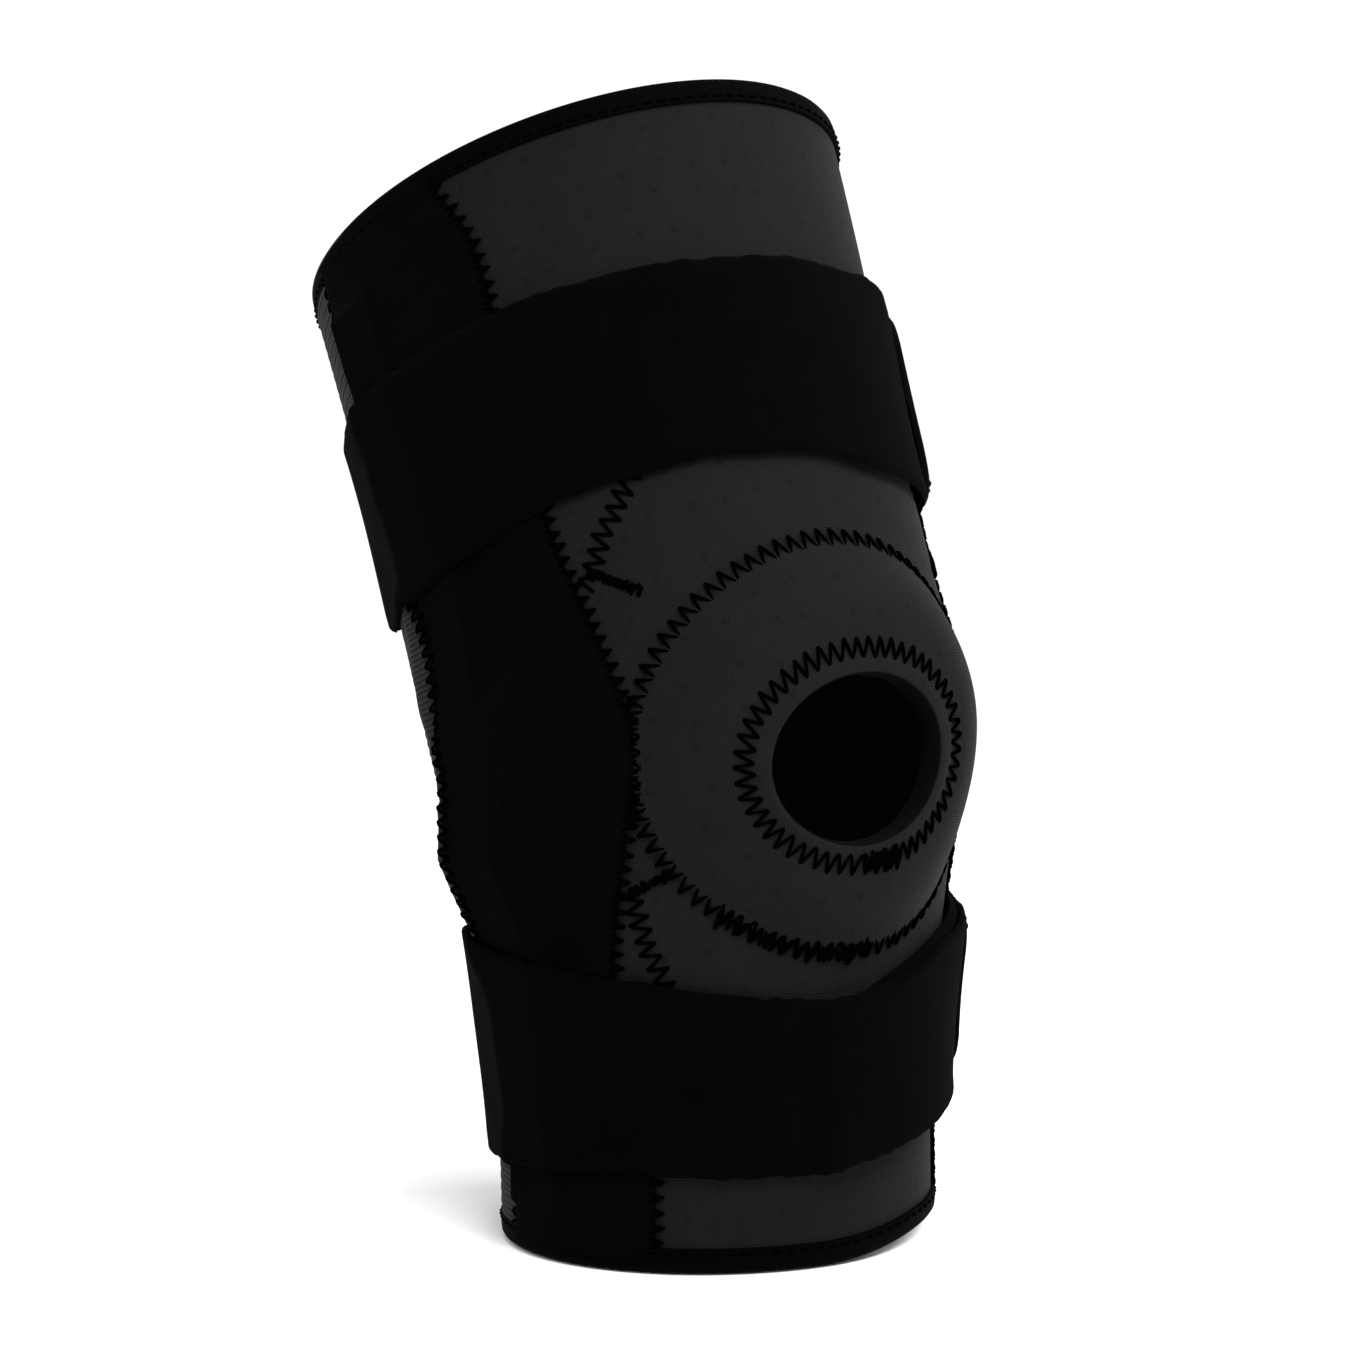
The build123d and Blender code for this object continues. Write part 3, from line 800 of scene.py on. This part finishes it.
def strap(name, edges, body, band, lap=None):
    """Strap round the leg; lap gives the degrees between which it lies over its own end."""
    rng = np.random.default_rng(len(name))
    columns = np.linspace(-math.pi, math.pi, 361)[:-1]
    share = np.r_[0, 0.012, 0.03, np.linspace(0.06, 0.94, 24), 0.97, 0.988, 1.0]
    turn = columns[:, None] + 0 * share[None, :]
    # each edge is a little rough, by its own random draws
    fuzz = [np.convolve(rng.normal(0, 0.3, 362), (0.25, 0.5, 0.25), "valid")[:, None] for _ in range(2)]
    low, high = (strap_edge(edges[end], turn) + rough for end, rough in zip(("low", "high"), fuzz))
    wander = 0.3 * np.sin(5 * turn) + 0.2 * np.sin(13 * turn + 1)
    s = low + (high - low) * share[None, :] + wander
    edge = np.minimum(share, 1 - share)[None, :]
    round_edge = np.sqrt(np.clip(edge / 0.03, 0, 1))
    puff = 0.3 * np.sin(7 * turn + s / 11) * np.clip(edge / 0.1, 0, 1)
    lift = 0.0
    if lap:
        rise = smoothstep((turn - math.radians(lap[0])) / 0.15 + 1)
        lift = (STRAP + 0.1) * rise * smoothstep((math.radians(lap[1]) - turn) / 0.3 + 1)
    outer = band(turn, s, lift + STRAP * (0.38 + 0.62 * round_edge) + puff)
    inner = band(turn, s, lift + STRAP * 0.38 * (1 - round_edge))
    piece = thick_sheet(f"{name}_webbing", outer, inner, STRAP_LOOP, cloth_uv(turn, s), closed=True)
    rides(piece, body, "strap_loop", name)


def strap_end(edges, along, row, span, gaps, inset=0.0):
    """Turn and level on the end of a strap: along it 0 to 1, across it -1 to 1."""
    turn = np.radians(span[0] + (span[1] - span[0]) * np.asarray(along))
    low = strap_edge(edges["low"], turn) + gaps[0]
    high = strap_edge(edges["high"], turn) - gaps[1]
    tip = np.clip((along - 0.72) / 0.28, 0, 1)
    width = np.maximum((1 - tip**3.2) ** (1 / 3.2), 0.02)
    reach = np.maximum((high - low) / 2 * width - inset, 0)
    return np.broadcast_arrays(turn, (low + high) / 2 + row * reach)


def strap_layer(name, edges, band, span, gaps, low, high, material):
    along = np.linspace(0, 1, 61)[:, None]
    rows = np.r_[-1, -0.97, np.linspace(-0.92, 0.92, 21), 0.97, 1][None, :]
    turn, s = strap_end(edges, along, rows, span, gaps)
    edge = np.minimum(1 - np.abs(rows), 4 * np.minimum(along, 1 - along))
    round_edge = np.sqrt(np.clip(edge / 0.06, 0, 1))
    outer = band(turn, s, low + 0.1 + (high - low - 0.1) * round_edge)
    inner = band(turn, s, low + 0 * turn)
    if span[1] < span[0]:
        outer, inner, turn, s = outer[::-1], inner[::-1], turn[::-1], s[::-1]
    piece = thick_sheet(name, outer, inner, material, cloth_uv(turn, s))
    return piece


def strap_tab(name, edges, body, band, span, lift):
    """End of the strap with its hook patch, closed over the strap on the inner side."""
    low, gaps = STRAP + lift + 0.3, (1.5, 1.5)
    high = low + TAB
    tab = strap_layer(
        f"{name}_hook_tab", edges, band, span, gaps, low, high, HOOK
    )
    rides(tab, body, "hook_tape", f"{name}_tab")

    side = np.linspace(0.05, 0.93, 60)
    across = np.linspace(-1, 1, 20)
    lines = [strap_end(edges, side, row, span, gaps, 2.6) for row in (-1, 1)]
    for share in (0.05, 0.12):
        lines.append(strap_end(edges, share + 0 * across, across, span, gaps, 2.6))

    def surface(turn, s, off):
        return band(turn, s, high + off)

    seams = [running_stitch(np.stack(line, -1), surface) for line in lines]
    points, faces = tube(sum(seams, []), FINE_THREAD_R)
    thread = mesh_piece(f"{name}_tab_stitching", points, faces, THREAD, np.zeros((len(points), 2)))
    rides(thread, body, "hook_tape")


def strap_underlap(name, edges, body, band, span):
    """Sewn end of the strap, which shows a little above the layer closed over it."""
    gaps = (2.0, -1.3)
    piece = strap_layer(
        f"{name}_underlap", edges, band, span, gaps, 0.0, STRAP, STRAP_LOOP
    )
    rides(piece, body, "strap_loop")


# ------------------------------------------------------------------ sewing
def sew(name, paths):
    points, faces = tube(paths, THREAD_R)
    piece = mesh_piece(name, points, faces, THREAD, np.zeros((len(points), 2)))
    bends(piece, "binding_tape")


def running_stitch(line, surface, length=2.7, gap=1.1):
    """Short stitches in a row along a line of (angle, along) points."""
    world = surface(line[:, 0], line[:, 1], 0.0)
    run = np.r_[0, np.cumsum(np.linalg.norm(np.diff(world, axis=0), axis=1))]
    paths = []
    for start in np.arange(0, run[-1] - length, length + gap):
        at = start + length * np.linspace(0, 1, 6)
        lift = FINE_THREAD_R * (2.2 * np.sin(math.pi * np.linspace(0, 1, 6)) ** 0.4 - 1.2)
        paths.append(surface(*[np.interp(at, run, line[:, k]) for k in (0, 1)], lift))
    return paths


# one stroke of a zigzag: share of the stroke, height of the thread's middle
STROKE = np.array([
    (0.0, -0.45), (0.06, 0.0), (0.18, 0.28), (0.35, 0.4), (0.5, 0.42),
    (0.65, 0.4), (0.82, 0.28), (0.94, 0.0),
])


def zigzag(line, width, period, surface, seed, lean=0.0, stray=0.16):
    """Thread sewn back and forth over a line, which is given as a function of 0 to 1."""
    rng = np.random.default_rng(seed)
    probe = np.linspace(0, 1, 600)
    world = surface(*line(probe).T, 0.0)
    run = np.r_[0, np.cumsum(np.linalg.norm(np.diff(world, axis=0), axis=1))]
    count = 2 * max(2, round(run[-1] / period))
    at = line(np.interp(np.linspace(0, run[-1], count + 1), run, probe))
    e = 1e-3
    here = surface(at[:, 0], at[:, 1], 0.0)
    grid = np.stack([
        (surface(at[:, 0] + e, at[:, 1], 0.0) - here) / e,
        (surface(at[:, 0], at[:, 1] + e, 0.0) - here) / e,
    ], -1)
    ahead = np.gradient(here, axis=0)
    ahead /= np.linalg.norm(ahead, axis=1, keepdims=True)
    side = np.cross(np.cross(grid[..., 0], grid[..., 1]), ahead)
    side /= np.linalg.norm(side, axis=1, keepdims=True)
    flip = np.where(np.arange(count + 1) % 2 == 0, 1, -1)
    swing = flip * width / 2 + rng.normal(0, stray, count + 1)
    slide = flip * lean + rng.normal(0, stray, count + 1)
    step = side * swing[:, None] + ahead * slide[:, None]
    needle = at + np.einsum("nij,nj->ni", np.linalg.pinv(grid), step)
    path = needle[:-1, None] + (needle[1:] - needle[:-1])[:, None] * STROKE[None, :, :1]
    lift = np.tile(STROKE[:, 1], count)
    path = path.reshape(-1, 2)
    return surface(path[:, 0], path[:, 1], lift)


def smooth_line(points):
    """Line through (degrees, along) points, with rounded corners."""
    points = np.array(points, float)
    points[:, 0] = np.radians(points[:, 0])
    run = np.r_[0, np.cumsum(np.hypot(np.diff(points[:, 0]) * CLOTH_R, np.diff(points[:, 1])))]
    run /= run[-1]

    def line(t):
        near = np.linspace(-0.05, 0.05, 7)
        t = np.asarray(t, float)
        return np.mean([
            np.stack([np.interp(np.clip(t + k, 0, 1), run, points[:, c]) for c in (0, 1)], -1)
            for k in near
        ], axis=0)
    return line


def raised(height):
    def surface(angle, s, off):
        return on_leg(angle, s, np.asarray(off, float) + height + 0 * np.asarray(s, float))
    return surface


def over_pocket(height):
    def surface(angle, s, off):
        lift = np.asarray(off, float) + height + 0 * np.asarray(s, float)
        return over_hardware(on_leg(angle, s, lift), POCKET_SLACK + np.asarray(off, float))
    return surface


def binding_sewing(name, rim, into, body):
    columns = np.linspace(-math.pi, math.pi, 361)
    line = np.stack([columns, np.full(361, rim + into * 5.2)], -1)
    points, faces = tube(running_stitch(line, raised(0.95)), FINE_THREAD_R)
    piece = mesh_piece(f"{name}_stitching", points, faces, THREAD, np.zeros((len(points), 2)))
    rides(piece, body, "binding_tape")


def kneecap_sewing():
    start, finish = -1.3, 5.0
    low, high = raised(COVER_OFF - 0.5), raised(COVER_OFF)
    wide = (0.9, -0.8)
    inner, outer = cap_line(INNER_SEAM, wide, start, finish), cap_line(1.0, -0.4, start, finish)
    sew("kneecap_inner_stitching", [zigzag(inner, 5.7, 3.5, low, 3, 0.35)])
    sew("kneecap_outer_stitching", [zigzag(outer, 5.9, 4.0, raised(0.5), 5, -0.2)])
    # where each seam starts and ends it is sewn over itself
    knots = [
        zigzag(cap_line(INNER_SEAM, wide, -1.58, -1.22), 5.0, 2.4, high, 11, stray=0.5),
        zigzag(cap_line(INNER_SEAM, wide, -1.5, -1.32), 3.8, 1.2, high, 12, stray=0.7),
        zigzag(cap_line(1.0, -0.4, -2.3, -1.48), 5.4, 3.1, raised(0.9), 13, stray=0.5),
        zigzag(cap_line(1.0, -0.4, -1.62, -1.5), 4.0, 1.2, raised(1.1), 14, stray=0.7),
    ]
    sew("seam_end_knots", knots)


# the seams beside the kneecap cover, as (degrees from the front, along the leg)
DART_HIGH = [(38, 57), (41.5, 48.5), (50, 39), (55.5, 30.5)]
DART_LOW = [(54, -30), (52, -41), (45, -58)]
BARTACK_HIGH = [(54, 34), (43.5, 27)]
BARTACK_LOW = [(56, -32), (44.5, -27.5)]


def dart_sewing(name, side):
    def mirrored(points):
        return smooth_line([(side * a, s) for a, s in points])

    darts = [
        zigzag(mirrored(DART_HIGH), 5.2, 3.6, raised(0.0), 21),
        zigzag(mirrored(DART_LOW), 5.2, 3.6, raised(0.0), 22),
    ]
    sew(f"{name}_dart_stitching", darts)
    tacks = [
        zigzag(mirrored(points), 2.0, 0.8, raised(0.25), 23 + k, stray=0.25)
        for k, points in enumerate((BARTACK_HIGH, BARTACK_LOW))
    ]
    sew(f"{name}_bartacks", tacks)


def pocket_sewing(name, side):
    def edge_line(edge_angle, inset):
        def line(t):
            s = -CALF_LENGTH + 6 + (CALF_LENGTH + THIGH_LENGTH - 12) * np.asarray(t, float)
            return np.stack([side * (edge_angle(s) + inset / CLOTH_R), s], -1)
        return line

    runs = [
        zigzag(edge_line(pocket_front, 0.4), 4.8, 3.6, over_pocket(0.7), 31),
        zigzag(edge_line(pocket_back, -0.4), 4.8, 3.6, over_pocket(0.7), 32),
    ]
    sew(f"{name}_pocket_stitching", runs)


# ------------------------------------------------------------------ hardware finishes
def dress_hardware():
    finishes = {
        "upright": brushed_metal("brushed_aluminium", 0.62, 0.38),
        "steel": brushed_metal("brushed_steel_hinge", 0.5, 0.3),
        "nylon": plain("nylon_liner", grey(0.55), grey(0.7), 400, 0.45),
        "rubber": plain("stop_rubber", grey(0.015), grey(0.03), 1200, 0.8),
        "foam": plain("pad_foam", grey(0.01), grey(0.03), 3000, 0.95, 0.1, depth=0.3),
    }
    for name in SIDES:
        for node, finish in (
            ("calf_upright", "upright"), ("thigh_upright", "upright"), ("inner_cheek", "steel"),
            ("outer_cheek", "steel"), ("hinge_pin", "steel"), ("hinge_rivets", "steel"),
            ("hinge_liners", "nylon"), ("extension_stop", "rubber"), ("condyle_pad", "foam"),
        ):
            for slot in frame["nodes"][f"{name}_{node}"].material_slots:
                slot.material = finishes[finish]


# ------------------------------------------------------------------ stage, light, camera
def area_light(name, energy, size, location, target):
    data = bpy.data.lights.new(name, "AREA")
    data.energy = energy
    data.shape = "DISK"
    data.size = size
    lamp = bpy.data.objects.new(name, data)
    bpy.context.scene.collection.objects.link(lamp)
    lamp.location = location
    lamp.rotation_euler = (Vector(target) - Vector(location)).to_track_quat("-Z", "Y").to_euler()


def studio():
    floor_mesh = bpy.data.meshes.new("floor")
    reach = 6.0
    corners = [(-reach, -reach, 0), (reach, -reach, 0), (reach, reach, 0), (-reach, reach, 0)]
    floor_mesh.from_pydata(corners, [], [(0, 1, 2, 3)])
    floor = bpy.data.objects.new("floor", floor_mesh)
    bpy.context.scene.collection.objects.link(floor)
    floor.location.z = -0.0002
    pale = plain("pale_floor", grey(0.95), grey(0.98), 3, 0.9, 0.1, depth=0.01)
    floor_mesh.materials.append(pale)

    world = bpy.data.worlds.new("studio")
    bpy.context.scene.world = world
    world.use_nodes = True
    world.node_tree.nodes["Background"].inputs["Color"].default_value = (1, 1, 1, 1)
    world.node_tree.nodes["Background"].inputs["Strength"].default_value = 1.05
    area_light("key", 8, 0.45, (-0.25, -0.55, 0.62), (0, 0, 0.2))
    area_light("fill", 5, 0.4, (0.45, -0.35, 0.6), (0, 0, 0.2))
    bpy.context.scene.view_settings.view_transform = "Standard"


CAMERA_AZIMUTH = math.radians(-38)
CAMERA_ELEVATION = math.radians(5)
CAMERA_ROLL = math.radians(-0.5)
CAMERA_DISTANCE = 1.05
CAMERA_LENS = 109.2


def camera():
    a, e, r = CAMERA_AZIMUTH, CAMERA_ELEVATION, CAMERA_ROLL
    back = np.array([math.sin(a) * math.cos(e), -math.cos(a) * math.cos(e), math.sin(e)])
    level = np.cross((0, 0, 1), back)
    level /= np.linalg.norm(level)
    up = np.cross(back, level)
    right = math.cos(r) * level + math.sin(r) * up
    top = np.cross(back, right)
    target = np.array([0, 0.020, CALF_LENGTH * MM + 0.010]) + 0.0038 * right + 0.0063 * top
    eye = target + CAMERA_DISTANCE * back
    data = bpy.data.cameras.new("camera")
    data.lens = CAMERA_LENS
    data.sensor_width = 36
    view = bpy.data.objects.new("camera", data)
    bpy.context.scene.collection.objects.link(view)
    columns = np.stack([right, top, back, eye], axis=1)
    view.matrix_world = Matrix([*columns.tolist(), (0, 0, 0, 1)])
    bpy.context.scene.camera = view


# ------------------------------------------------------------------ build
camera()
studio()
foam_sleeve()
back_panel()
rim_binding("bottom_binding_tape", -CALF_LENGTH, 1, "calf", "bottom_binding")
rim_binding("top_binding_tape", THIGH_LENGTH, -1, "thigh", "top_binding")
kneecap_cover()
for side_name, side_sign in SIDES.items():
    pocket(side_name, side_sign)
    dart_sewing(side_name, side_sign)
    pocket_sewing(side_name, side_sign)
kneecap_sewing()
binding_sewing("bottom_binding", -CALF_LENGTH, 1, "calf")
binding_sewing("top_binding", THIGH_LENGTH, -1, "thigh")
calf_band = taut_band(-108, -40)
thigh_band = taut_band(40, 106)
CALF_LAP = (-8, 112)      # degrees between which the calf strap lies over its own sewn end
strap_underlap("calf_strap", CALF_STRAP, "calf", calf_band, CALF_LAP[::-1])
strap("calf_strap", CALF_STRAP, "calf", calf_band, lap=CALF_LAP)
strap("thigh_strap", THIGH_STRAP, "thigh", thigh_band)
strap_tab("calf_strap", CALF_STRAP, "calf", calf_band, (112, 58), STRAP + 0.1)
strap_tab("thigh_strap", THIGH_STRAP, "thigh", thigh_band, (108, 50), 0.0)
dress_hardware()
